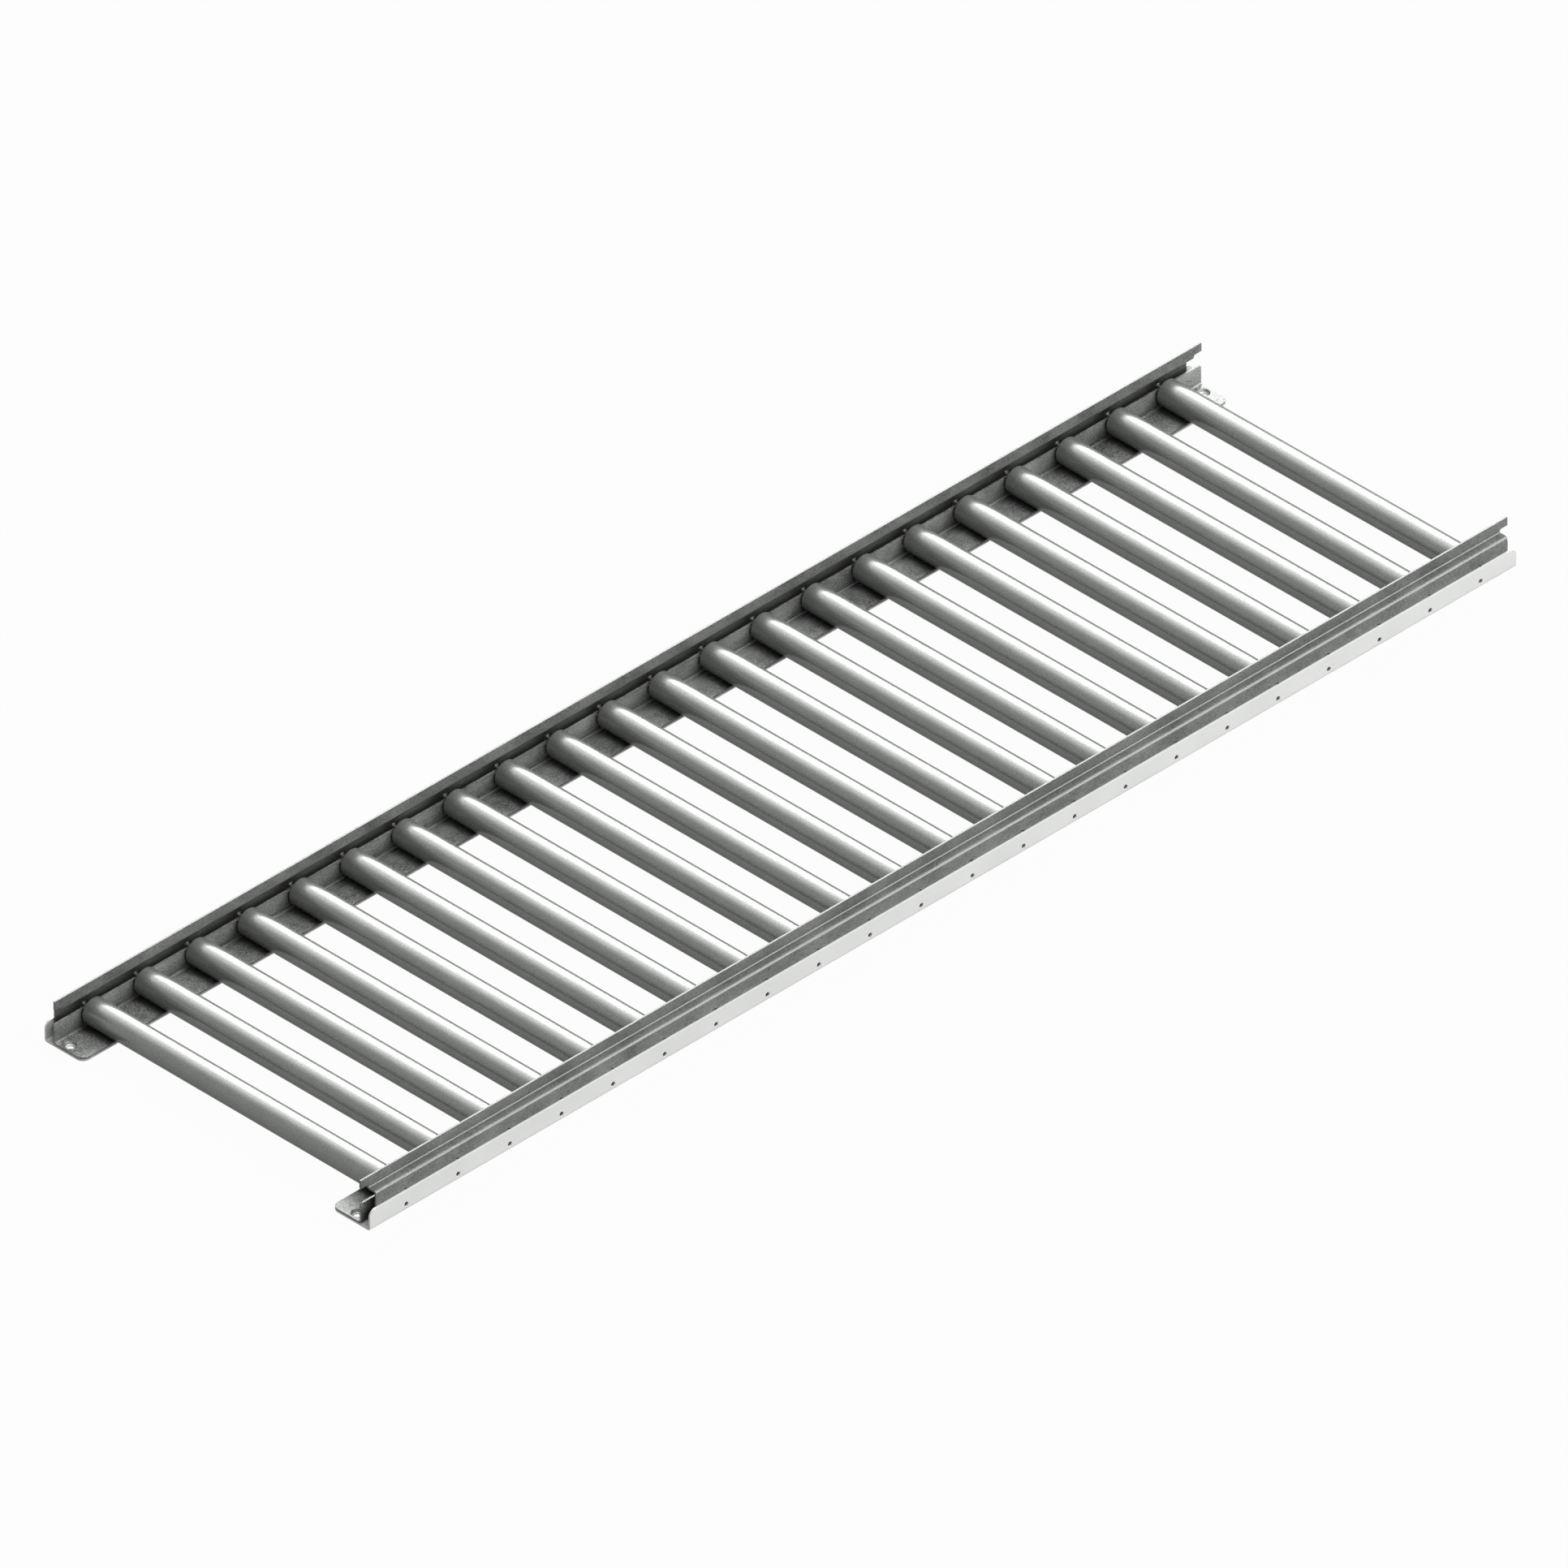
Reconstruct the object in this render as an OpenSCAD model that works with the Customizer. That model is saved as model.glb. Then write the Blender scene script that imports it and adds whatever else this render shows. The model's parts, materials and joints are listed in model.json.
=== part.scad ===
// Flow rack roller track: full-width rollers between two nested sheet-metal side rails.
// Frame: +X along the track, +Y across it, +Z up. The origin is at the middle of the underside.

/* [Track] */
// Length of the track, end to end
track_l = 1494; // [1000:1:2000]
// Width of the track over both base angles
track_w = 424; // [200:1:800]
// Number of rollers
roller_count = 22; // [2:1:25]
// Distance from each end of the track to the axis of the nearest roller
end_to_roller = 47; // [30:1:60]

/* [Rollers] */
// Outer diameter of a roller tube
roller_d = 28; // [26:0.5:28]
// Wall thickness of a roller tube
tube_wall = 1.5; // [1:0.1:1.5]
// Outer radius of the rolled-in rim at each end of a tube
rim_r = 2.5; // [2:0.1:3]
// Height of the roller axes over the underside
roller_z = 19; // [19:0.1:20]
// Gap between a tube's end and the upright that carries its axle
end_gap = 0.8; // [0.5:0.1:1]
// Diameter of an axle
axle_d = 6; // [5:0.5:6]

/* [Bearings] */
// Diameter of a bearing ball
ball_d = 4.4; // [4:0.1:4.4]
// Number of balls in a bearing
ball_count = 8; // [5:1:8]
// Depth of a pressed bearing cup
cup_depth = 8; // [7:0.5:10]
// Sheet thickness of a bearing cup
cup_sheet = 1.2; // [1:0.1:1.2]

/* [Rail sheets] */
// Sheet thickness of every rail profile
sheet_t = 2; // [1.5:0.1:2]
// Width of the flat flanges under the rollers
flange_w = 50; // [40:1:60]
// Corner radius at the ends of the flanges and of the base angle's wall
corner_r = 8; // [2:0.5:10]
// Height of the base angle's wall
base_wall_h = 22.2; // [20:0.1:23]
// Outer bend radius of the base angle
base_bend_r = 3; // [2.5:0.1:3.5]
// Distance from the track's side to the roller angle's upright
upright_y = 11.3; // [11:0.1:12]
// Height of the roller angle's upright over the underside
upright_h = 25.3; // [24:0.1:27]
// Outer bend radius of the roller angle
upright_bend_r = 4; // [2.5:0.1:4]
// Radius of the top corners of the roller angle's upright
upright_corner_r = 3; // [1:0.5:5]

/* [Guide rails] */
// Height of the step that joins the guide's lower wall to its flange
step_h = 38.2; // [37:0.1:40]
// Outer bend radius over the guide's lower wall
shoulder_r = 3; // [2.5:0.1:3.5]
// Inner bend radius under the guide flange
throat_r = 1.2; // [1:0.1:2]
// Distance from the track's side to the guide flange
guide_y = 11.7; // [11.7:0.1:12]
// Height of the guide flange over the underside
guide_h = 50.6; // [45:0.1:60]
// Length by which the step and the lower wall are cut back at each end
cut_back = 10; // [4:0.5:20]
// Height over the underside at which the cut-back ends
cut_h = 41.3; // [41:0.1:43]
// Radius in the corner of the cut-back
cut_r = 2; // [1:0.5:3]

/* [Holes] */
// Diameter of the axle holes in the uprights
axle_hole_d = 6.1; // [6.1:0.1:6.4]
// Diameter of the clearance holes round the axles in the guides' lower walls
clear_hole_d = 9.3; // [8:0.1:10]
// Diameter of the fixing holes in the row along each side
side_hole_d = 4.8; // [4:0.1:5.5]
// Height of that row over the underside
side_hole_z = 7.1; // [6.5:0.1:8]
// Diameter of the end screw holes
screw_hole_d = 6.4; // [5.5:0.1:6.6]
// Diameter of the end screw holes' countersinks
sink_d = 12.8; // [11:0.1:13]
// Distance from the track's ends to the end screw holes
screw_x = 8.5; // [8:0.5:15]
// Distance from the track's sides to the end screw holes
screw_y = 25; // [22:0.5:30]

/* [Hidden] */
$fn = 64;
pad = 1; // How far a cutter runs past the face that it opens
play = 0.05; // Running clearance of the balls in their races
pitch = (track_l - 2 * end_to_roller) / (roller_count - 1);
tube_end = upright_y + sheet_t + end_gap; // From the track's side to a tube's end
tube_l = track_w - 2 * tube_end;
axle_play = 0.1; // Gap between an axle's end and the base angle's wall
axle_inset = sheet_t + axle_play; // From the track's side to an axle's end
axle_l = track_w - 2 * axle_inset;
axle_chamfer = 0.6;
base_screw_h = 2 * sheet_t - (sink_d - screw_hole_d) / 2; // Height of the straight hole under the sink

// Bearing section, radii from the axle's centre and depths from the tube's end
bore_r = roller_d / 2 - tube_wall;
cone_r = 4.9; // Cylinder on which the balls run
ball_track_r = cone_r + ball_d / 2;
race_r = ball_track_r + ball_d / 2;
ball_depth = 5;
groove = 0.5; // Depth of the ball grooves in the cone and in the cup
cone_back = 8.6; // Depth of the cone's inner end
nose_r = 5.9;
nose_back = 1.9; // Depth at which the nose steps down to the cone
nose_gap = 0.1; // Gap between the nose and the upright
seal_r = nose_r + 0.3; // Hole in the cup's web, round the cone's nose
lip_r = bore_r - 1.6; // Mouth of the tube inside its rolled-in rim
rim_inner_r = rim_r - tube_wall;
cup_bend_r = max(rim_inner_r, cup_sheet) + 0.3; // Clears the round inside the tube's rim

ROLLERS = [for (i = [1:roller_count]) i];

function two_digits(i) = i < 10 ? str("0", i) : str(i);
function roller_x(i) = end_to_roller + (i - 1) * pitch - track_l / 2;

// ---- Placing and section helpers ----

// The near side's own frame runs from the track's left end and near side
module near_side() {
    translate([-track_l / 2, -track_w / 2, 0]) children();
}

module far_side() {
    mirror([0, 1, 0]) near_side() children();
}

// A section drawn as (distance inward, height) and carried along the track
module along_track(from = 0, to = track_l) {
    translate([from, 0, 0]) rotate([90, 0, 90]) linear_extrude(to - from) children();
}

// A shape drawn as (distance along, height) and carried across a wall
module across_wall(from, to) {
    translate([0, to, 0]) rotate([90, 0, 0]) linear_extrude(to - from) children();
}

// A quarter of a bend: the ring between two radii, in the quadrant that the signs give
module bend(centre, outer_r, inner_r, sign_y, sign_z) {
    translate(centre) intersection() {
        difference() {
            circle(outer_r);
            circle(inner_r);
        }
        translate([min(0, sign_y * (outer_r + pad)), min(0, sign_z * (outer_r + pad))])
            square(outer_r + pad);
    }
}

// Straight stretch of a section, given by its lowest and highest corners
module strip(low, high) {
    translate(low) square(high - low);
}

// Cuts one corner of a plate to a quarter circle. The corner is at the origin and
// the plate lies towards the signs given
module corner_cutter(r, sign_u, sign_v) {
    difference() {
        translate([sign_u > 0 ? -pad : -r, sign_v > 0 ? -pad : -r]) square(r + pad);
        translate([sign_u * r, sign_v * r]) circle(r);
    }
}

// Rounds the free corners of a flange that ends at flange_w
module round_flange(top) {
    difference() {
        children();
        for (end = [0, 1])
            translate([end * track_l, flange_w, -pad]) linear_extrude(top + 2 * pad)
                corner_cutter(corner_r, end == 0 ? 1 : -1, -1);
    }
}

// Rounds the two top corners of a wall between two distances from the track's side
module round_wall(r, height, from, to) {
    difference() {
        children();
        for (end = [0, 1])
            across_wall(from - pad, to + pad) translate([end * track_l, height])
                corner_cutter(r, end == 0 ? 1 : -1, -1);
    }
}

// A row of round holes through a wall, one at each roller
module hole_row(d, z, from, to) {
    for (i = ROLLERS)
        translate([end_to_roller + (i - 1) * pitch, to, z]) rotate([90, 0, 0])
            cylinder(d = d, h = to - from);
}

// The two countersunk holes through both flanges
module end_screw_holes() {
    for (x = [screw_x, track_l - screw_x]) translate([x, screw_y, 0]) {
        translate([0, 0, -pad]) cylinder(d = screw_hole_d, h = 2 * sheet_t);
        translate([0, 0, base_screw_h])
            cylinder(d1 = screw_hole_d, d2 = sink_d + 2 * pad, h = (sink_d - screw_hole_d) / 2 + pad);
    }
}

// ---- Rails ----

// Outer angle: the flat underside of the track and its low side wall
module base_angle() {
    difference() {
        round_wall(corner_r, base_wall_h, 0, sheet_t) round_flange(sheet_t) along_track() {
            bend([base_bend_r, base_bend_r], base_bend_r, base_bend_r - sheet_t, -1, -1);
            strip([base_bend_r, 0], [flange_w, sheet_t]);
            strip([0, base_bend_r], [sheet_t, base_wall_h]);
        }
        hole_row(side_hole_d, side_hole_z, -pad, sheet_t + pad / 2);
        end_screw_holes();
    }
}

// Inner angle: lies on the base angle's flange, and its upright carries the axles
module roller_angle() {
    y = upright_y;
    r = upright_bend_r;
    difference() {
        round_wall(upright_corner_r, upright_h, y, y + sheet_t) round_flange(2 * sheet_t) along_track() {
            bend([y + r, sheet_t + r], r, r - sheet_t, -1, -1);
            strip([y + r, sheet_t], [flange_w, 2 * sheet_t]);
            strip([y, sheet_t + r], [y + sheet_t, upright_h]);
        }
        hole_row(axle_hole_d, roller_z, y - pad, y + sheet_t + pad);
        end_screw_holes();
    }
}

// Section of the guide: lower wall, shoulder, step, throat and guide flange
module guide_section() {
    wall_foot = base_bend_r;
    shoulder_z = step_h - shoulder_r;
    throat_y = guide_y - throat_r;
    strip([sheet_t, wall_foot], [2 * sheet_t, shoulder_z]);
    bend([sheet_t + shoulder_r, shoulder_z], shoulder_r, shoulder_r - sheet_t, -1, 1);
    strip([sheet_t + shoulder_r, step_h - sheet_t], [throat_y, step_h]);
    bend([throat_y, step_h + throat_r], throat_r + sheet_t, throat_r, 1, -1);
    strip([guide_y, step_h + throat_r], [guide_y + sheet_t, guide_h]);
}

// Outline of the piece cut out under the guide flange at the left end
module cut_back_outline() {
    translate([-pad, 0]) square([pad + cut_back, cut_h - cut_r]);
    translate([-pad, 0]) square([pad + cut_back - cut_r, cut_h]);
    translate([cut_back - cut_r, cut_h - cut_r]) circle(cut_r);
}

// Stepped profile that lies inside the base angle and keeps the goods on the rollers
module guide_rail() {
    difference() {
        along_track() guide_section();
        across_wall(0, guide_y + sheet_t + pad) cut_back_outline();
        across_wall(0, guide_y + sheet_t + pad) translate([track_l, 0]) mirror([1, 0])
            cut_back_outline();
        hole_row(clear_hole_d, roller_z, sheet_t - pad / 2, 2 * sheet_t + pad);
        hole_row(side_hole_d, side_hole_z, sheet_t - pad / 2, 2 * sheet_t + pad);
    }
}

module base_angle_near() { color("gainsboro") near_side() base_angle(); }
module base_angle_far() { color("gainsboro") far_side() base_angle(); }
module roller_angle_near() { color("darkgray") near_side() roller_angle(); }
module roller_angle_far() { color("darkgray") far_side() roller_angle(); }
module guide_rail_near() { color("gray") near_side() guide_rail(); }
module guide_rail_far() { color("gray") far_side() guide_rail(); }

// ---- Rollers ----

// Turns a section of (radius, distance along the axle) about one roller's axle,
// with the distance counted from the track's middle towards the near side
module on_axle(i) {
    translate([roller_x(i), 0, roller_z]) rotate([90, 0, 0]) children();
}

// Both bearings of one roller, each drawn with its depth counted from the tube's end
module both_bearings(i) {
    on_axle(i) {
        translate([0, 0, tube_l / 2]) mirror([0, 0, 1]) children();
        translate([0, 0, -tube_l / 2]) children();
    }
}

// Plain axle with chamfered ends
module axle(i) {
    r = axle_d / 2;
    on_axle(i) {
        cylinder(r = r, h = axle_l - 2 * axle_chamfer, center = true);
        for (end = [0, 1]) mirror([0, 0, end])
            translate([0, 0, axle_l / 2 - axle_chamfer])
                cylinder(r1 = r, r2 = r - axle_chamfer, h = axle_chamfer);
    }
}

module axles() {
    color("lightgray") for (i = ROLLERS) axle(i);
}

// Inner ring of a bearing: a turned cone with a ball groove and a nose that
// stands out of the tube to space it from the upright
module bearing_cone() {
    bore = axle_d / 2;
    rotate_extrude() difference() {
        union() {
            strip([bore, nose_gap - end_gap], [nose_r, nose_back]);
            strip([bore, 0], [cone_r + groove, cone_back]);
        }
        translate([ball_track_r, ball_depth]) circle(ball_d / 2 + play);
    }
}

module bearing_cones() {
    color("silver") for (i = ROLLERS) both_bearings(i) bearing_cone();
}

module bearing_balls() {
    color("lightsteelblue") for (i = ROLLERS) both_bearings(i)
        for (k = [1:ball_count]) rotate(k * 360 / ball_count)
            translate([ball_track_r, 0, ball_depth]) sphere(d = ball_d, $fn = 24);
}

// Pressed cup: a rim that grips the tube, a web round the cone's nose and the outer race
module bearing_cup() {
    front = tube_wall;
    bend_r = cup_bend_r;
    rotate_extrude() difference() {
        union() {
            strip([bore_r - cup_sheet, front + bend_r], [bore_r, front + cup_depth]);
            bend([bore_r - bend_r, front + bend_r], bend_r, bend_r - cup_sheet, 1, -1);
            strip([seal_r, front], [bore_r - bend_r, front + cup_sheet]);
            strip([race_r - groove, front], [race_r + cup_sheet, front + cup_depth]);
        }
        translate([ball_track_r, ball_depth]) circle(ball_d / 2 + play);
    }
}

module bearing_cups(i) {
    color("slategray") both_bearings(i) bearing_cup();
}

// Tube with both rims rolled in over its bearings
module roller_tube(i) {
    r = roller_d / 2;
    color("silver") on_axle(i) difference() {
        tube_body(r, rim_r, tube_l);
        tube_body(bore_r, rim_inner_r, tube_l - 2 * tube_wall);
        cylinder(r = lip_r, h = tube_l + pad, center = true);
    }
}

// Solid of revolution with rounded edges, centred on the origin
module tube_body(r, edge_r, length) {
    rotate_extrude() {
        translate([0, -length / 2]) square([r - edge_r, length]);
        translate([0, edge_r - length / 2]) square([r, length - 2 * edge_r]);
        for (end = [-1, 1]) translate([r - edge_r, end * (length / 2 - edge_r)]) intersection() {
            circle(edge_r);
            translate([0, -edge_r]) square([edge_r, 2 * edge_r]);
        }
    }
}

base_angle_near();
base_angle_far();
roller_angle_near();
roller_angle_far();
guide_rail_near();
guide_rail_far();
axles();
bearing_cones();
bearing_balls();
for (i = ROLLERS) {
    roller_tube(i);
    bearing_cups(i);
}
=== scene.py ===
import json
import math

import bmesh
import bpy
import numpy as np
from mathutils import Matrix, Vector

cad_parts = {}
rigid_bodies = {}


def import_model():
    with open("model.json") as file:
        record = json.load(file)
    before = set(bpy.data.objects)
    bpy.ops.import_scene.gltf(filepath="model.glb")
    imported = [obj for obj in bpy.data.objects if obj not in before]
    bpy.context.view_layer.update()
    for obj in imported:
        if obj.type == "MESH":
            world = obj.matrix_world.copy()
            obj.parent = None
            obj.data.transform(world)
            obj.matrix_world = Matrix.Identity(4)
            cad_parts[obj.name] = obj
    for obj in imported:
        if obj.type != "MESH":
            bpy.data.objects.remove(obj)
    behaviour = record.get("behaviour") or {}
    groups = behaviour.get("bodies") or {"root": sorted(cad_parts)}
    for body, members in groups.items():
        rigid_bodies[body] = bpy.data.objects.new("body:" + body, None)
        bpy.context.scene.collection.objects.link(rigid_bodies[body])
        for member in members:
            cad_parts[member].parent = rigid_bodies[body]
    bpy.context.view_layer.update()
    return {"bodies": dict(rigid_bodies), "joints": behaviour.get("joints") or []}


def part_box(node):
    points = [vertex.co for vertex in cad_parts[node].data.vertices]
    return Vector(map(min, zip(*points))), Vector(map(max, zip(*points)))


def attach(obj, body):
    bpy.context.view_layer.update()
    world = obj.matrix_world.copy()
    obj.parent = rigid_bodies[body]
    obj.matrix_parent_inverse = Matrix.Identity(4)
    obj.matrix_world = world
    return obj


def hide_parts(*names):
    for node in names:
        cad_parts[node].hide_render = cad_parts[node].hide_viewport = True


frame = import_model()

mm = 0.001

baseLow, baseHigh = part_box("base_angle_near")
angleLow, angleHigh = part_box("roller_angle_near")
guideLow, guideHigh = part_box("guide_rail_near")
axleLow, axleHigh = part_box("axles")
rollerIds = sorted(name.split("_")[1] for name in frame["bodies"] if name.startswith("roller_"))
rollerAxes = {j["child"]: j["pos_m"] for j in frame["joints"]}

halfLength = -baseLow.x
halfWidth = -baseLow.y
sheet = angleLow.z  # the roller angle's flange lies on the base angle's flange
flangeWidth = baseHigh.y - baseLow.y
uprightY = angleLow.y - baseLow.y
guideY = guideHigh.y - baseLow.y - sheet
axleRadius = (axleHigh.z - axleLow.z) / 2


def meshObject(name, points, faces, smooth=True):
    mesh = bpy.data.meshes.new(name)
    mesh.from_pydata(points.tolist(), [], faces)
    mesh.validate()
    mesh.polygons.foreach_set("use_smooth", np.full(len(mesh.polygons), smooth))
    obj = bpy.data.objects.new(name, mesh)
    bpy.context.scene.collection.objects.link(obj)
    return obj


def gridFaces(rows, columns, closeRows=False, closeColumns=False):
    # quads between the neighbours of a rows x columns grid of points
    r = np.arange(rows if closeRows else rows - 1)[:, None]
    c = np.arange(columns if closeColumns else columns - 1)[None, :]
    r2, c2 = (r + 1) % rows, (c + 1) % columns
    quads = np.stack([r * columns + c, r * columns + c2, r2 * columns + c2, r2 * columns + c], -1)
    return quads.reshape(-1, 4)


def bentSheet(corners, bends, thickness):
    # outline of a bent sheet: its middle line has an arc of the given radius at each inner corner,
    # and the two faces lie half a thickness to either side of it
    corners = np.array(corners)
    points, normals = [], []
    for i, corner in enumerate(corners):
        before = corner - corners[i - 1] if i else corners[1] - corner
        after = corners[i + 1] - corner if i + 1 < len(corners) else before
        a0, a1 = math.atan2(before[1], before[0]), math.atan2(after[1], after[0])
        turn = (a1 - a0 + math.pi) % (2 * math.pi) - math.pi
        if abs(turn) < 1e-9:
            points.append(corner[None])
            normals.append([[-math.sin(a0), math.cos(a0)]])
            continue
        radius, side = bends[i - 1], math.copysign(1, turn)
        reach = radius * math.tan(abs(turn) / 2)
        start = corner - reach * np.array([math.cos(a0), math.sin(a0)])
        centre = start + side * radius * np.array([-math.sin(a0), math.cos(a0)])
        angle = a0 + np.linspace(0, turn, railShape["bendSteps"] + 1)
        normal = np.stack([-np.sin(angle), np.cos(angle)], 1)
        points.append(centre - side * radius * normal)
        normals.append(normal)
    middle, normal = np.concatenate(points), np.concatenate(normals)
    return np.concatenate([middle + normal * thickness / 2, (middle - normal * thickness / 2)[::-1]])


def prism(outline, axis, start, end):
    # a flat outline carried straight along one axis, with both ends closed
    count = len(outline)
    points = np.empty((2, count, 3))
    points[:, :, [k for k in range(3) if k != axis]] = outline
    points[0, :, axis], points[1, :, axis] = start, end
    sides = gridFaces(2, count, closeColumns=True).tolist()
    return points.reshape(-1, 3), sides + [list(range(count))[::-1], list(range(count, 2 * count))]


def lathePoints(profile, steps):
    # (radius, along) points turned about the Y axis
    angle = np.linspace(0, 2 * math.pi, steps, endpoint=False)[None, :, None]
    radius, along = profile[:, 0][:, None, None], profile[:, 1][:, None, None]
    return np.concatenate(
        [radius * np.sin(angle), along + 0 * angle, radius * np.cos(angle)], 2)


def lathe(profile, steps):
    # a loop of (radius, along) points makes a ring, and one that starts and ends on the axis a rod
    points = lathePoints(profile, steps)
    return points.reshape(-1, 3), gridFaces(len(profile), steps, profile[0, 0] > 0, True)


def arc(centreR, centreY, radius, start, end, steps):
    # points on a circle, with angles from the +radius direction towards +along
    angle = np.radians(np.linspace(start, end, steps + 1))
    return np.stack([centreR + radius * np.cos(angle), centreY + radius * np.sin(angle)], 1)


def repeat(points, faces, offsets):
    # copies of one shape at each offset, as one set of points and faces
    offsets = np.atleast_2d(offsets)
    allPoints = (points[None] + offsets[:, None]).reshape(-1, 3)
    allFaces = (faces[None] + (np.arange(len(offsets)) * len(points))[:, None, None])
    return allPoints, allFaces.reshape(-1, faces.shape[1])


weldGap = 0.001 * mm


def turnOut(obj):
    # closes the poles of turned shapes, and makes every shell face outwards
    shell = bmesh.new()
    shell.from_mesh(obj.data)
    bmesh.ops.remove_doubles(shell, verts=shell.verts, dist=weldGap)
    bmesh.ops.recalc_face_normals(shell, faces=shell.faces)
    shell.to_mesh(obj.data)
    shell.free()


def cutAway(obj, cutters):
    # subtracts closed shapes, each (points, faces), from the piece
    allPoints, allFaces, first = [], [], 0
    for points, faces in cutters:
        allPoints.append(points)
        allFaces += [[int(k) + first for k in face] for face in faces]
        first += len(points)
    cutter = meshObject("cutter", np.concatenate(allPoints), allFaces)
    turnOut(cutter)
    cut = obj.modifiers.new("holes", "BOOLEAN")
    cut.operation, cut.solver, cut.object = "DIFFERENCE", "EXACT", cutter
    evaluated = obj.evaluated_get(bpy.context.evaluated_depsgraph_get())
    mesh = bpy.data.meshes.new_from_object(evaluated)
    obj.modifiers.clear()
    old, obj.data = obj.data, mesh
    bpy.data.meshes.remove(old)
    bpy.data.objects.remove(cutter)


softEdge = {"width": 0.22 * mm, "segments": 2, "sharpest": 40.0}  # along every sheared edge of the sheets


def softenEdges(obj):
    bevel = obj.modifiers.new("soft edges", "BEVEL")
    bevel.width, bevel.segments = softEdge["width"], softEdge["segments"]
    bevel.limit_method, bevel.angle_limit = "ANGLE", math.radians(softEdge["sharpest"])
    bevel.harden_normals = True
    bevel.use_clamp_overlap = True


def place(obj, body, nodes, material):
    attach(obj, body)
    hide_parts(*nodes)
    obj.data.materials.clear()
    obj.data.materials.append(material)


railShape = {
    "baseBend": guideLow.z,  # the guide's wall starts where the base angle's bend ends
    "angleBend": 4.0 * mm,
    "stepHeight": 38.2 * mm,
    "shoulderBend": 3.0 * mm,
    "throatBend": 1.2 * mm,
    "cornerRadius": 8.0 * mm,
    "uprightCorner": 3.0 * mm,
    "cutLength": 10.0 * mm,
    "cutHeight": 41.3 * mm,
    "cutCorner": 2.0 * mm,
    "bendSteps": 12,
    "cornerSteps": 16,
    "cutSteps": 8,
}
holeShape = {
    "axleHole": 3.05 * mm,
    "clearHole": 4.65 * mm,
    "sideHole": 2.4 * mm,
    "sideHeight": 7.1 * mm,
    "screwHole": 3.2 * mm,
    "sinkRadius": 6.4 * mm,
    "screwInset": 8.5 * mm,
    "screwAcross": 25.0 * mm,
    "steps": 48,
}
margin = 1.0 * mm  # how far a cutter reaches past the sheet that it cuts


def holeCutter(x, y0, y1, z, radius):
    angle = np.linspace(0, 2 * math.pi, holeShape["steps"], endpoint=False)
    outline = np.stack([x + radius * np.cos(angle), z + radius * np.sin(angle)], 1)
    return prism(outline, 1, y0, y1)


def screwCutter(x, y):
    # straight hole that opens in a cone at 45 degrees, up to the sink's radius on the flange
    top, n = 2 * sheet, holeShape["steps"]
    r0, r1 = holeShape["screwHole"], holeShape["sinkRadius"]
    profile = np.array([[r0, -margin], [r0, top - (r1 - r0)], [r1 + margin, top + margin]])
    points = lathePoints(profile, n).reshape(-1, 3)[:, [0, 2, 1]] + [x, y, 0]
    ends = [list(range(n)), list(range(2 * n, 3 * n))]
    return points, gridFaces(3, n, closeColumns=True).tolist() + ends


def screwCutters():
    return [screwCutter(end * (halfLength - holeShape["screwInset"]), holeShape["screwAcross"])
            for end in (-1, 1)]


def cornerOutline(u, v, signU, signV, radius):
    # the piece outside a quarter circle at a plate's corner
    over = 2 * margin
    angle = np.linspace(0, math.pi / 2, railShape["cornerSteps"] + 1)
    centre = np.array([u + signU * radius, v + signV * radius])
    curve = centre - radius * np.stack([signU * np.sin(angle), signV * np.cos(angle)], 1)
    outside = [[u - signU * over, v + signV * radius], [u - signU * over, v - signV * over],
               [u + signU * radius, v - signV * over]]
    return np.concatenate([curve, outside])


def cornerCutters(height, radius, y0, y1):
    return [prism(cornerOutline(end * halfLength, height, -end, -1, radius), 1, y0, y1)
            for end in (-1, 1)]


def flangeCutters(top):
    return [prism(cornerOutline(end * halfLength, flangeWidth, -end, -1, railShape["cornerRadius"]),
                  2, -margin, top + margin) for end in (-1, 1)]


def cutBackCutter(end):
    r, over = railShape["cutCorner"], 2 * margin
    length, height = railShape["cutLength"], railShape["cutHeight"]
    angle = np.linspace(0, math.pi / 2, railShape["cutSteps"] + 1)
    curve = np.stack([length - r + r * np.cos(angle), height - r + r * np.sin(angle)], 1)
    outline = np.concatenate([[[-over, -over], [length, -over]], curve, [[-over, height]]])
    outline[:, 0] = end * (halfLength - outline[:, 0])
    return prism(outline, 1, -over, guideY + sheet + over)


def railPiece(name, outline, cutters, mirrored):
    points, faces = prism(outline, 0, -halfLength, halfLength)
    obj = meshObject(name, points, faces)
    turnOut(obj)
    cutAway(obj, cutters)
    co = np.empty(len(obj.data.vertices) * 3)
    obj.data.vertices.foreach_get("co", co)
    co = co.reshape(-1, 3)
    co[:, 1] -= halfWidth
    if mirrored:
        co[:, 1] *= -1
    obj.data.vertices.foreach_set("co", co.ravel())
    turnOut(obj)
    obj.data.polygons.foreach_set("use_smooth", np.ones(len(obj.data.polygons), bool))
    softenEdges(obj)
    return obj


def baseAngle(side):
    t, height = sheet, baseHigh.z
    outline = bentSheet([[t / 2, height], [t / 2, t / 2], [flangeWidth, t / 2]],
                        [railShape["baseBend"] - t / 2], t)
    cutters = cornerCutters(height, railShape["cornerRadius"], -margin, t + margin)
    cutters += flangeCutters(t)
    cutters += screwCutters()
    cutters += [holeCutter(x, -margin, t + margin, holeShape["sideHeight"], holeShape["sideHole"])
                for x in rollerXs]
    return railPiece("outer_angle_" + side, outline, cutters, side == "far")


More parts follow.
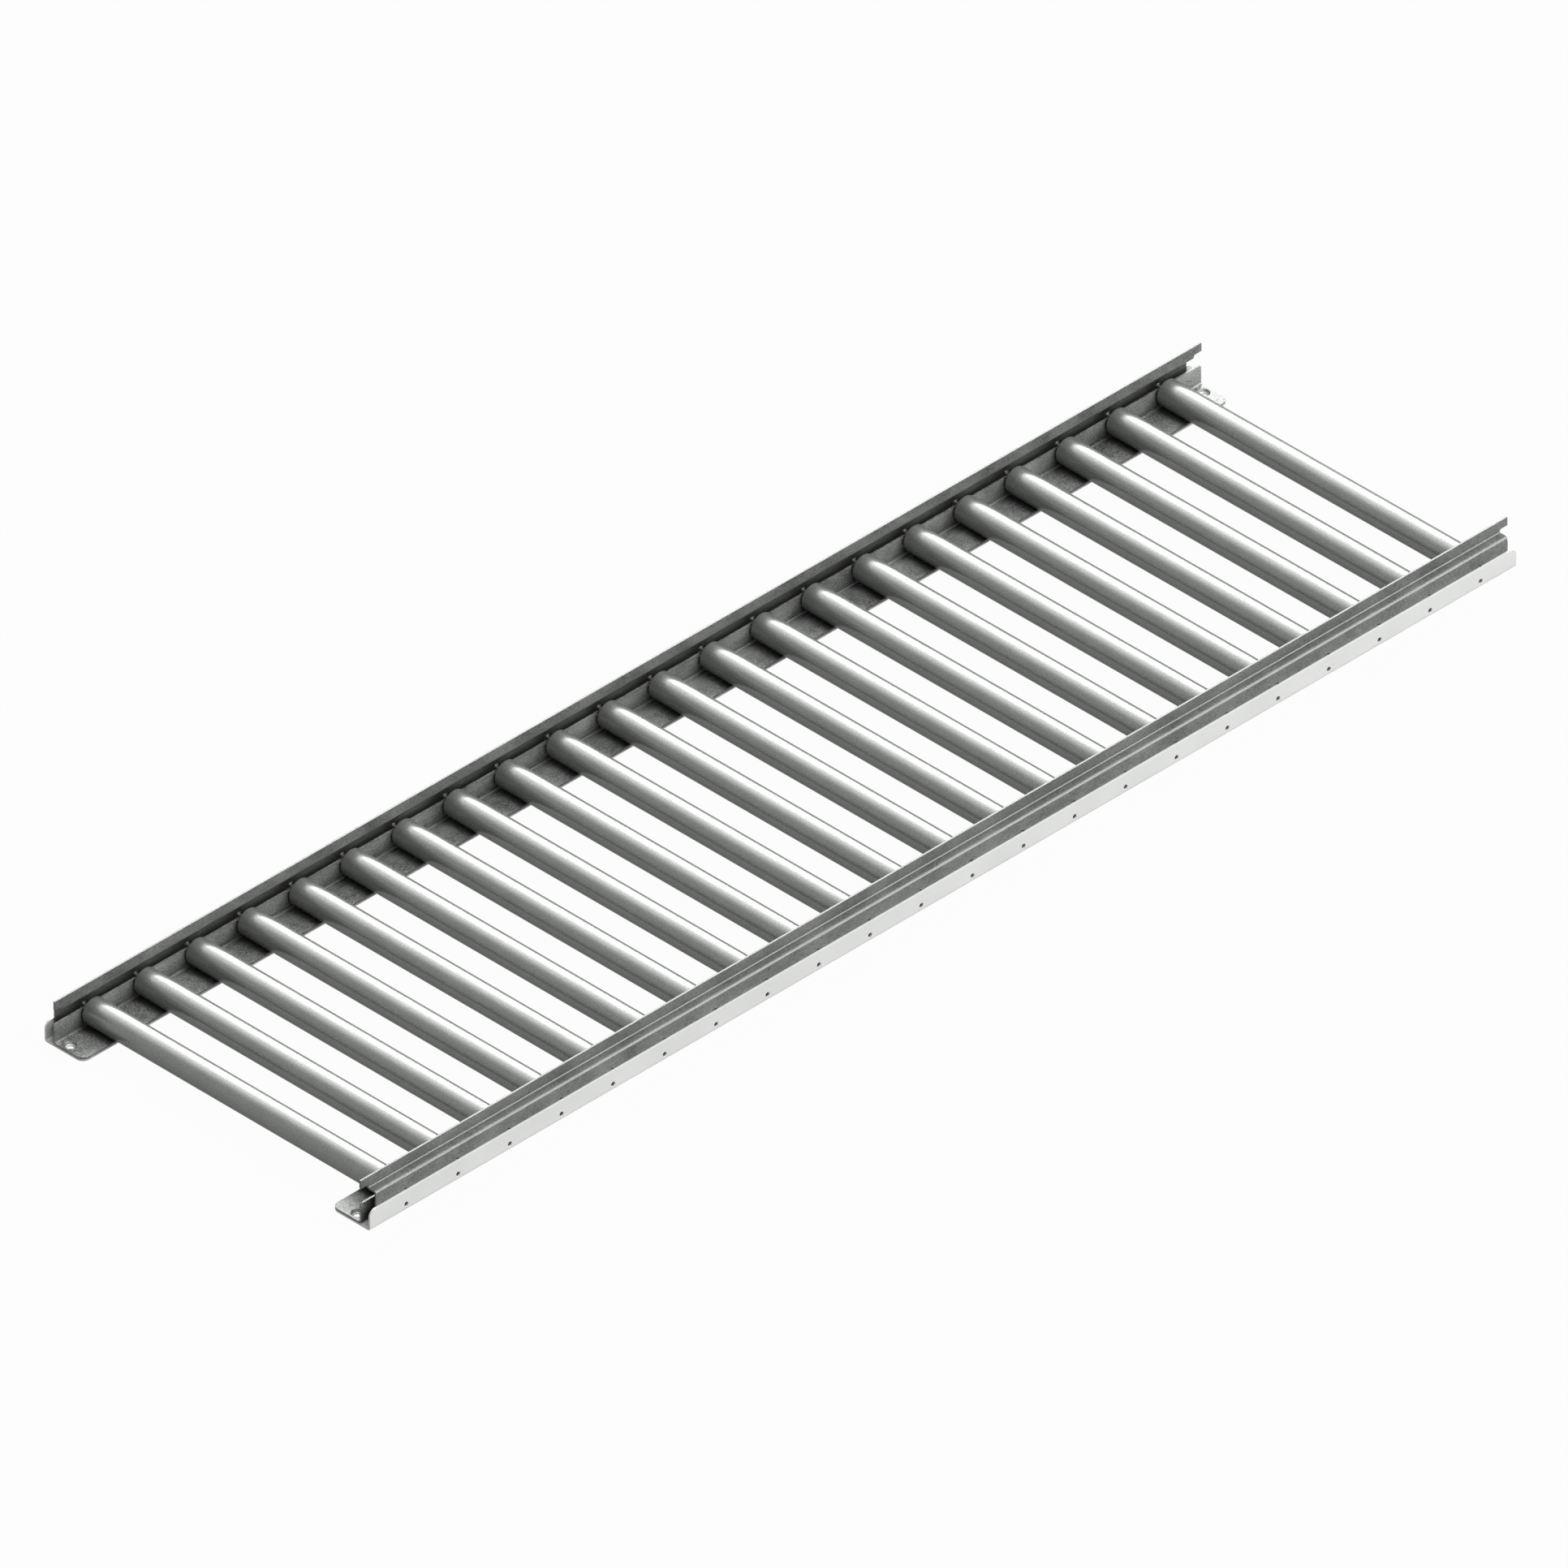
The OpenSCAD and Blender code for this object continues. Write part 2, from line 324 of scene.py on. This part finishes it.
def rollerAngle(side):
    t, y, height = sheet, uprightY, angleHigh.z
    outline = bentSheet([[y + t / 2, height], [y + t / 2, t * 1.5], [flangeWidth, t * 1.5]],
                        [railShape["angleBend"] - t / 2], t)
    cutters = cornerCutters(height, railShape["uprightCorner"], y - margin, y + t + margin)
    cutters += flangeCutters(2 * t)
    cutters += screwCutters()
    cutters += [holeCutter(x, y - margin, y + t + margin, rollerZ, holeShape["axleHole"])
                for x in rollerXs]
    return railPiece("inner_angle_" + side, outline, cutters, side == "far")


def guideRail(side):
    t, step = sheet, railShape["stepHeight"]
    outline = bentSheet(
        [[t * 1.5, guideLow.z], [t * 1.5, step - t / 2], [guideY + t / 2, step - t / 2],
         [guideY + t / 2, guideHigh.z]],
        [railShape["shoulderBend"] - t / 2, railShape["throatBend"] + t / 2], t)
    cutters = [cutBackCutter(end) for end in (-1, 1)]
    for x in rollerXs:
        for height, hole in ((rollerZ, "clearHole"), (holeShape["sideHeight"], "sideHole")):
            cutters.append(holeCutter(x, t - margin, 2 * t + margin, height, holeShape[hole]))
    return railPiece("stepped_guide_" + side, outline, cutters, side == "far")


tubeShape = {
    "wall": 1.5 * mm,
    "rim": 2.5 * mm,
    "lip": 1.6 * mm,
    "steps": 112,
    "rimSteps": 8,
}


def tubeProfile(half, radius):
    # outer wall, both rolled rims, and the inner wall back again
    t, rim, n = tubeShape["wall"], tubeShape["rim"], tubeShape["rimSteps"]
    mouth = radius - t - tubeShape["lip"]
    right = np.concatenate([
        arc(radius - rim, half - rim, rim, 0, 90, n), [[mouth, half], [mouth, half - t]],
        arc(radius - rim, half - rim, rim - t, 90, 0, n // 2)])
    return np.concatenate([right, right[::-1] * [1, -1]])


def rollerTube(number, centre):
    low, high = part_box("roller_tube_" + number)
    radius = (high.z - low.z) / 2
    profile = tubeProfile(high.y, radius)
    n, steps = len(profile), tubeShape["steps"]
    points, faces = lathe(profile, steps)
    obj = meshObject("tube_" + number, points + centre, faces.tolist())
    # the piece's own map holds metres: round the tube, and along it
    column = np.arange(steps)
    faceColumn = np.tile(column, n)[:, None]
    corner = np.array([0, 1, 1, 0])[None]
    u = (faceColumn + corner) / steps * 2 * math.pi * radius
    row = np.repeat(np.arange(n), steps)[:, None]
    along = profile[:, 1][(row + np.array([0, 0, 1, 1])[None]) % n]
    uv = obj.data.uv_layers.new(name="metres")
    uv.data.foreach_set("uv", np.stack([u, along], -1).ravel())
    turnOut(obj)
    return obj


axleShape = {"chamfer": 0.6 * mm, "steps": 32}


def axleProfile(half):
    c = axleShape["chamfer"]
    return np.array([[0, half], [axleRadius - c, half], [axleRadius, half - c],
                     [axleRadius, c - half], [axleRadius - c, -half], [0, -half]])


bearingShape = {
    "ballRadius": 2.2 * mm,
    "coneRadius": 4.9 * mm,
    "groove": 0.5 * mm,
    "play": 0.05 * mm,
    "ballDepth": 5.0 * mm,
    "balls": 8,
    "ballRows": 6,
    "ballColumns": 8,
    "cupDepth": 8.0 * mm,
    "cupSheet": 1.2 * mm,
    "cupBend": 1.5 * mm,
    "noseRadius": 5.9 * mm,
    "noseBack": 1.9 * mm,
    "noseOut": 0.7 * mm,
    "coneBack": 8.6 * mm,
    "chamfer": 0.3 * mm,
    "sealGap": 0.3 * mm,
    "raceSteps": 8,
    "cupBendSteps": 5,
    "cupSteps": 40,
    "coneSteps": 24,
}


def bothEnds(profile, tubeHalf):
    # a bearing section given by radius and depth from the tube's end, at both ends
    near = np.stack([profile[:, 0], tubeHalf - profile[:, 1]], 1)
    return [near, near * [1, -1]]


def grooveArc(edgeRadius, out):
    # part of the ball circle that sinks into a race, between the two points at that race's radius
    b = bearingShape
    r = b["ballRadius"] + b["play"]
    centre = b["coneRadius"] + b["ballRadius"]
    reach = math.degrees(math.acos(abs(centre - edgeRadius) / r))
    middle = 0 if out else 180
    return arc(centre, b["ballDepth"], r, middle - reach, middle + reach, b["raceSteps"])


def coneProfile():
    b, c = bearingShape, bearingShape["chamfer"]
    edge = b["coneRadius"] + b["groove"]
    return np.concatenate([
        [[axleRadius, -b["noseOut"]], [b["noseRadius"] - c, -b["noseOut"]],
         [b["noseRadius"], c - b["noseOut"]], [b["noseRadius"], b["noseBack"]], [edge, b["noseBack"]]],
        grooveArc(edge, False)[::-1], [[edge, b["coneBack"]], [axleRadius, b["coneBack"]]]])


def cupProfile(boreRadius):
    b, front = bearingShape, tubeShape["wall"]
    race = b["coneRadius"] + 2 * b["ballRadius"]
    edge, t, back = race - b["groove"], b["cupSheet"], front + b["cupDepth"]
    seal, bend = b["noseRadius"] + b["sealGap"], b["cupBend"]
    return np.concatenate([
        [[seal, front]], arc(boreRadius - bend, front + bend, bend, -90, 0, b["cupBendSteps"]),
        [[boreRadius, back], [boreRadius - t, back],
         [boreRadius - t, front + t], [race + t, front + t], [race + t, back], [edge, back]],
        grooveArc(edge, True)[::-1], [[edge, front + t], [seal, front + t]]])


def ringPiece(name, profiles, steps, centres):
    allPoints, allFaces, first = [], [], 0
    for profile in profiles:
        points, faces = repeat(*lathe(profile, steps), centres)
        allPoints.append(points)
        allFaces.append(faces + first)
        first += len(points)
    obj = meshObject(name, np.concatenate(allPoints), np.concatenate(allFaces).tolist())
    turnOut(obj)
    return obj


def ballPiece(name, tubeHalf, centres):
    # a coarse sphere at each place on the ball circle of each bearing
    b = bearingShape
    rows, columns = b["ballRows"], b["ballColumns"]
    lat = np.linspace(0, math.pi, rows)[:, None]
    lon = np.linspace(0, 2 * math.pi, columns, endpoint=False)[None]
    ball = np.stack([np.sin(lat) * np.cos(lon), np.sin(lat) * np.sin(lon), np.cos(lat) + 0 * lon], -1)
    ball = ball.reshape(-1, 3) * b["ballRadius"]
    turn = np.arange(b["balls"]) * 2 * math.pi / b["balls"]
    circle = b["coneRadius"] + b["ballRadius"]
    spots = [[circle * math.sin(a), end * (tubeHalf - b["ballDepth"]), circle * math.cos(a)]
             for a in turn for end in (-1, 1)]
    offsets = (np.array(centres)[:, None] + np.array(spots)[None]).reshape(-1, 3)
    points, faces = repeat(ball, gridFaces(rows, columns, closeColumns=True), offsets)
    obj = meshObject(name, points, faces.tolist())
    turnOut(obj)
    return obj


rollerXs = [rollerAxes["roller_" + n][0] for n in rollerIds]
rollerZ = rollerAxes["roller_" + rollerIds[0]][2]
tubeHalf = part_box("roller_tube_" + rollerIds[0])[1].y


class Value:
    # a socket that can be used in sums and products
    def __init__(self, graph, socket):
        self.graph, self.socket = graph, socket

    def maths(self, operation, other):
        return self.graph.add("ShaderNodeMath", {"operation": operation}, self, other)

    def __add__(self, other):
        return self.maths("ADD", other)

    def __radd__(self, other):
        return self.maths("ADD", other)

    def __mul__(self, other):
        return self.maths("MULTIPLY", other)


class Graph:
    def __init__(self, name):
        self.material = bpy.data.materials.new(name)
        self.material.use_nodes = True
        self.tree = self.material.node_tree
        self.shader = self.tree.nodes["Principled BSDF"]

    def add(self, kind, settings=None, *inputs, output=0, **named):
        node = self.tree.nodes.new(kind)
        for key, value in (settings or {}).items():
            setattr(node, key, value)
        for i, value in enumerate(inputs):
            self.plug(node.inputs[i], value)
        for key, value in named.items():
            self.plug(node.inputs[key.replace("_", " ")], value)
        return Value(self, node.outputs[output])

    def plug(self, socket, value):
        if isinstance(value, Value):
            self.tree.links.new(value.socket, socket)
        else:
            socket.default_value = value

    def place(self, scale=(1, 1, 1), uv=None):
        if uv:
            coordinates = self.add("ShaderNodeUVMap", {"uv_map": uv})
        else:
            coordinates = self.add("ShaderNodeTexCoord", output="Object")
        return self.add("ShaderNodeMapping", None, coordinates, Scale=scale)

    def noise(self, where, scale, detail):
        return self.add("ShaderNodeTexNoise", None, Vector=where, Scale=scale, Detail=detail)

    def levels(self, value, low, high):
        # stretches values between low and high to the full range, clamped
        return self.add("ShaderNodeMapRange", None, value, low, high, 0.0, 1.0)

    def spread(self, noise):
        # most values of a noise lie between these two
        return self.levels(noise, 0.3, 0.7)

    def tones(self, tone, pattern, look):
        lean = look.get("lean", zincLean)
        return self.blend(self.levels(tone, pattern["low"], pattern["high"]),
                          grey(look["dark"], lean), grey(look["light"], lean))

    def blend(self, factor, colourA, colourB):
        node = self.tree.nodes.new("ShaderNodeMix")
        node.data_type = "RGBA"
        for name, value in (("Factor_Float", factor), ("A_Color", colourA), ("B_Color", colourB)):
            socket = next(s for s in node.inputs if s.identifier == name)
            self.plug(socket, value)
        return Value(self, next(s for s in node.outputs if s.identifier == "Result_Color"))

    def bump(self, height, distance, strength):
        return self.add("ShaderNodeBump", None, Height=height, Distance=distance, Strength=strength)

    def openness(self, reach):
        # share of the sky that a spot sees within reach, low in slots and corners where shade falls; used to
        # paint shade there
        return self.add("ShaderNodeAmbientOcclusion", {"samples": 8}, output=1, Distance=reach)

    def finish(self, **sockets):
        for name, value in sockets.items():
            self.plug(self.shader.inputs[name.replace("_", " ")], value)
        return self.material


zincLean = 0.04


def grey(level, lean=zincLean):
    # a neutral tone that leans a little to green, as zinc does
    return (level * (1 - 0.9 * lean), level, level * (1 - 1.1 * lean), 1.0)


guideLook = {"dark": 0.033, "light": 0.13, "roughness": 0.32, "metal": 0.15, "edge": 0.6}
innerLook = {"dark": 0.02, "light": 0.27, "roughness": 0.34, "metal": 0.12, "edge": 0.3}
baseLook = {"dark": 0.39, "light": 0.41, "roughness": 0.45, "metal": 0.2, "lean": 0.015}
tubeLook = {"dark": 0.125, "light": 0.23, "roughness": 0.27, "metal": 0.55, "edge": 0.2}
axleLook = {"dark": 0.11, "light": 0.18, "roughness": 0.4}
bearingLook = {"dark": 0.5, "light": 0.65, "roughness": 0.2}
# painted shade: a near-black colour blended into the galvanised sheets where little sky is seen within reach
paintedShadeLook = {"reach": 15.0 * mm, "closed": 0.3, "open": 0.7, "colour": grey(0.012)}

# the patterns in each kind of steel: scale and share of the tone for each noise, and how much each
# one changes the roughness and the height
sheetPattern = {
    "cloud": 28.0, "cloudShare": 0.3, "cloudRough": 0.08,
    "rolled": 22.0, "rolledShare": 0.1, "rolledStretch": 60.0, "rolledHeight": 0.5,
    "grain": 850.0, "grainShare": 0.6, "grainRough": 0.06,
    "low": 0.36, "high": 0.64, "smoothest": -0.05, "height": 0.012 * mm, "strength": 0.35,
}
zincPattern = {
    "cloud": 18.0, "cloudShare": 0.6, "cloudRough": 0.08, "grain": 1800.0, "grainShare": 0.4,
    "low": 0.38, "high": 0.62, "smoothest": -0.04, "height": 0.01 * mm, "strength": 0.3,
}
tubePattern = {
    "cloud": 40.0, "cloudShare": 0.1, "cloudRough": 0.03,
    "lengthwise": 16.0, "lengthwiseShare": 0.15, "lengthwiseStretch": (90.0, 1.5, 1.0),
    "around": 14.0, "aroundShare": 0.05, "aroundStretch": (1.5, 70.0, 1.0),
    "grain": 900.0, "grainShare": 0.7,
    "low": 0.36, "high": 0.64, "smoothest": -0.02, "height": 0.01 * mm, "strength": 0.15,
}
steelPattern = {
    "lines": 60.0, "linesShare": 0.6, "linesStretch": 40.0, "linesRough": 0.08,
    "grain": 1500.0, "grainShare": 0.4, "low": 0.36, "high": 0.64, "smoothest": -0.04,
}
coarse, fine = 3.0, 2.0  # detail of the wide noises and of the grain


def galvanisedSheet(name, look):
    g, p = Graph(name), sheetPattern
    cloud = g.noise(g.place(), p["cloud"], coarse)
    rolled = g.noise(g.place((1.0, p["rolledStretch"], p["rolledStretch"])), p["rolled"], coarse)
    grain = g.noise(g.place(), p["grain"], fine)
    tone = cloud * p["cloudShare"] + rolled * p["rolledShare"] + grain * p["grainShare"]
    unshadedColour = g.tones(tone, p, look)
    # painted shade: darkens the colour in slots, recesses and under the roller ends, where shade falls
    paintedShadeMask = g.levels(g.openness(paintedShadeLook["reach"]), paintedShadeLook["closed"], paintedShadeLook["open"])
    colour = g.blend(paintedShadeMask, paintedShadeLook["colour"], unshadedColour)
    rough = look["roughness"] + p["smoothest"] + g.spread(cloud) * p["cloudRough"]
    rough = rough + g.spread(grain) * p["grainRough"]
    normal = g.bump(grain + rolled * p["rolledHeight"], p["height"], p["strength"])
    return g.finish(Base_Color=colour, Metallic=look["metal"], Roughness=rough, Normal=normal,
                    Specular_Tint=grey(look["edge"]))


def brightZincSheet(name, look):
    g, p = Graph(name), zincPattern
    cloud = g.noise(g.place(), p["cloud"], coarse)
    grain = g.noise(g.place(), p["grain"], fine)
    colour = g.tones(cloud * p["cloudShare"] + grain * p["grainShare"], p, look)
    rough = look["roughness"] + p["smoothest"] + g.spread(cloud) * p["cloudRough"]
    normal = g.bump(grain, p["height"], p["strength"])
    return g.finish(Base_Color=colour, Metallic=look["metal"], Roughness=rough, Normal=normal)


def drawnTube(name, look):
    g, p = Graph(name), tubePattern
    where = g.place(uv="metres")
    cloud = g.noise(where, p["cloud"], coarse)
    lengthwise = g.noise(g.place(p["lengthwiseStretch"], uv="metres"), p["lengthwise"], coarse)
    around = g.noise(g.place(p["aroundStretch"], uv="metres"), p["around"], coarse)
    grain = g.noise(where, p["grain"], fine)
    tone = cloud * p["cloudShare"] + lengthwise * p["lengthwiseShare"]
    tone = tone + grain * p["grainShare"] + around * p["aroundShare"]
    rough = look["roughness"] + p["smoothest"] + g.spread(cloud) * p["cloudRough"]
    normal = g.bump(grain + lengthwise, p["height"], p["strength"])
    return g.finish(Base_Color=g.tones(tone, p, look), Metallic=look["metal"], Roughness=rough,
                    Normal=normal, Specular_Tint=grey(look["edge"]))


def brightSteel(name, look):
    g, p = Graph(name), steelPattern
    lines = g.noise(g.place((1.0, p["linesStretch"], 1.0)), p["lines"], coarse)
    grain = g.noise(g.place(), p["grain"], fine)
    colour = g.tones(lines * p["linesShare"] + grain * p["grainShare"], p, look)
    rough = look["roughness"] + p["smoothest"] + g.spread(lines) * p["linesRough"]
    return g.finish(Base_Color=colour, Metallic=1.0, Roughness=rough)


guideMetal = galvanisedSheet("galvanised guide sheet", guideLook)
innerMetal = galvanisedSheet("galvanised angle sheet", innerLook)
baseMetal = brightZincSheet("bright zinc sheet", baseLook)
tubeMetal = drawnTube("drawn zinc tube", tubeLook)
axleMetal = brightSteel("drawn axle steel", axleLook)
bearingMetal = brightSteel("bearing steel", bearingLook)

for side in ("near", "far"):
    place(baseAngle(side), "frame", ["base_angle_" + side], baseMetal)
    place(rollerAngle(side), "frame", ["roller_angle_" + side], innerMetal)
    place(guideRail(side), "frame", ["guide_rail_" + side], guideMetal)
print("rails done")

centres = [rollerAxes["roller_" + n] for n in rollerIds]
for number in rollerIds:
    centre = np.array(rollerAxes["roller_" + number])
    body = "roller_" + number
    place(rollerTube(number, centre), body, ["roller_tube_" + number], tubeMetal)
    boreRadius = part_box("bearing_cups_" + number)[1].z - rollerZ
    profiles = bothEnds(cupProfile(boreRadius), tubeHalf)
    cups = ringPiece("cups_" + number, profiles, bearingShape["cupSteps"], centre)
    place(cups, body, ["bearing_cups_" + number], bearingMetal)
print("rollers done")

axles = ringPiece("axle_rods", [axleProfile(axleHigh.y)], axleShape["steps"], centres)
place(axles, "frame", ["axles"], axleMetal)
cones = ringPiece("cone_rings", bothEnds(coneProfile(), tubeHalf), bearingShape["coneSteps"], centres)
place(cones, "frame", ["bearing_cones"], bearingMetal)
place(ballPiece("ball_sets", tubeHalf, centres), "frame", ["bearing_balls"], bearingMetal)
print("axles and bearings done")


stageLook = {
    "floorHalf": 20.0,
    "floorDrop": 0.05 * mm,
    "floorPaint": (0.12, 0.12, 0.12, 1.0),
    "floorRoughness": 0.9,
    "floorGlow": 0.97,  # share of plain white that the camera and the steel see over the shaded paint
    "worldFill": 0.36,
    "lampDistance": 15.0,
}


def floorPlane():
    h = stageLook["floorHalf"]
    points = np.array([[-h, -h, 0], [h, -h, 0], [h, h, 0], [-h, h, 0]]) - [0, 0, stageLook["floorDrop"]]
    floor = meshObject("floor", points, [[0, 1, 2, 3]], False)
    g = Graph("floor paint")
    g.finish(Base_Color=stageLook["floorPaint"], Roughness=stageLook["floorRoughness"])
    white = g.add("ShaderNodeEmission", None, (1.0, 1.0, 1.0, 1.0), 1.0)
    camera = g.add("ShaderNodeLightPath")
    glossy = g.add("ShaderNodeLightPath", output=3)
    through = g.add("ShaderNodeLightPath", output=6)
    seen = camera.maths("MAXIMUM", glossy).maths("MAXIMUM", through)
    mix = g.add("ShaderNodeMixShader", None, seen * stageLook["floorGlow"],
                Value(g, g.shader.outputs[0]), white)
    g.tree.links.new(mix.socket, g.tree.nodes["Material Output"].inputs["Surface"])
    floor.data.materials.append(g.material)


# arches of softboxes over the track, each at one steady distance to the side of its own axis
backArch = {"across": 0.30, "from": 20.0, "step": 15.0,
            "radiance": [17.0, 17.0, 13.0, 7.6, 4.6, 3.0, 1.0]}
sideArch = {"across": 0.30, "from": 30.0, "step": 20.0, "radiance": [1.5, 2.0, 3.4, 4.8, 6.0, 6.8]}
topLamp = {"out": (0.0, -0.15, 1.0), "size": 6.0, "radiance": 9.0}
frontArch = {"across": 0.30, "from": 100.0, "step": 16.0, "radiance": [12.0, 13.0, 14.0, 16.0, 26.0]}


def softbox(name, out, along, length, width, radiance):
    # flat lamp that faces the track from the direction out, with its length turned along the arch
    light = bpy.data.lights.new(name, "AREA")
    light.shape, light.size, light.size_y = "RECTANGLE", length, width
    light.energy = radiance * math.pi * length * width
    lamp = bpy.data.objects.new(name, light)
    turn = Matrix((along, out.cross(along), out)).transposed().to_4x4()
    lamp.matrix_world = Matrix.Translation(out * stageLook["lampDistance"]) @ turn
    bpy.context.scene.collection.objects.link(lamp)


def arch(name, look, axis, sign=1):
    # panels on a circle of directions that all make the same angle with one axis
    side, reach = sign / math.sqrt(3), math.sqrt(2 / 3)
    distance = stageLook["lampDistance"]
    for k, radiance in enumerate(look["radiance"]):
        angle = math.radians(look["from"] + (k + 0.5) * look["step"])
        out = [reach * math.cos(angle), side, reach * math.sin(angle)]
        along = [-math.sin(angle), 0.0, math.cos(angle)]
        if axis == "x":
            out[0], out[1] = out[1], out[0]
            along[0], along[1] = along[1], along[0]
        length = distance * reach * math.radians(look["step"])
        softbox(f"{name}{k}", Vector(out), Vector(along), length, distance * look["across"], radiance)


def studioWorld():
    world = bpy.data.worlds.new("studio")
    bpy.context.scene.world = world
    world.use_nodes = True
    nodes, links = world.node_tree.nodes, world.node_tree.links
    background = nodes["Background"]
    background.inputs["Color"].default_value = (1, 1, 1, 1)
    path = nodes.new("ShaderNodeLightPath")
    seen = path.outputs["Is Camera Ray"]
    for ray in ("Is Glossy Ray", "Is Transmission Ray"):
        either = nodes.new("ShaderNodeMath")
        either.operation = "MAXIMUM"
        links.new(seen, either.inputs[0])
        links.new(path.outputs[ray], either.inputs[1])
        seen = either.outputs[0]
    strength = nodes.new("ShaderNodeMapRange")
    strength.inputs["To Min"].default_value = stageLook["worldFill"]
    strength.inputs["To Max"].default_value = 1.0
    links.new(seen, strength.inputs["Value"])
    links.new(strength.outputs[0], background.inputs["Strength"])


cameraLook = {"lens": 1600.0, "sensor": 36.0, "viewWidth": 1.4448, "aimHeight": 0.0212, "clip": (1.0, 200.0)}


def isometricCamera():
    # equal foreshortening of all three axes, from far away so that parallels stay parallel
    look = cameraLook
    data = bpy.data.cameras.new("camera")
    data.type, data.lens, data.sensor_width = "PERSP", look["lens"], look["sensor"]
    data.clip_start, data.clip_end = look["clip"]
    camera = bpy.data.objects.new("camera", data)
    back = Vector((-1, -1, 1)).normalized()
    target = Vector((0, 0, look["aimHeight"]))
    camera.location = target + back * (look["viewWidth"] * look["lens"] / look["sensor"])
    camera.rotation_euler = back.to_track_quat("Z", "Y").to_euler()
    bpy.context.scene.collection.objects.link(camera)
    bpy.context.scene.camera = camera


floorPlane()
arch("backLamp", backArch, "y")
arch("sideLamp", sideArch, "y", -1)
arch("frontLamp", frontArch, "x")
softbox("topLamp", Vector(topLamp["out"]).normalized(), Vector((1, 0, 0)), topLamp["size"], topLamp["size"],
        topLamp["radiance"])
studioWorld()
isometricCamera()
bpy.context.scene.view_settings.view_transform = "Standard"
print("stage done")
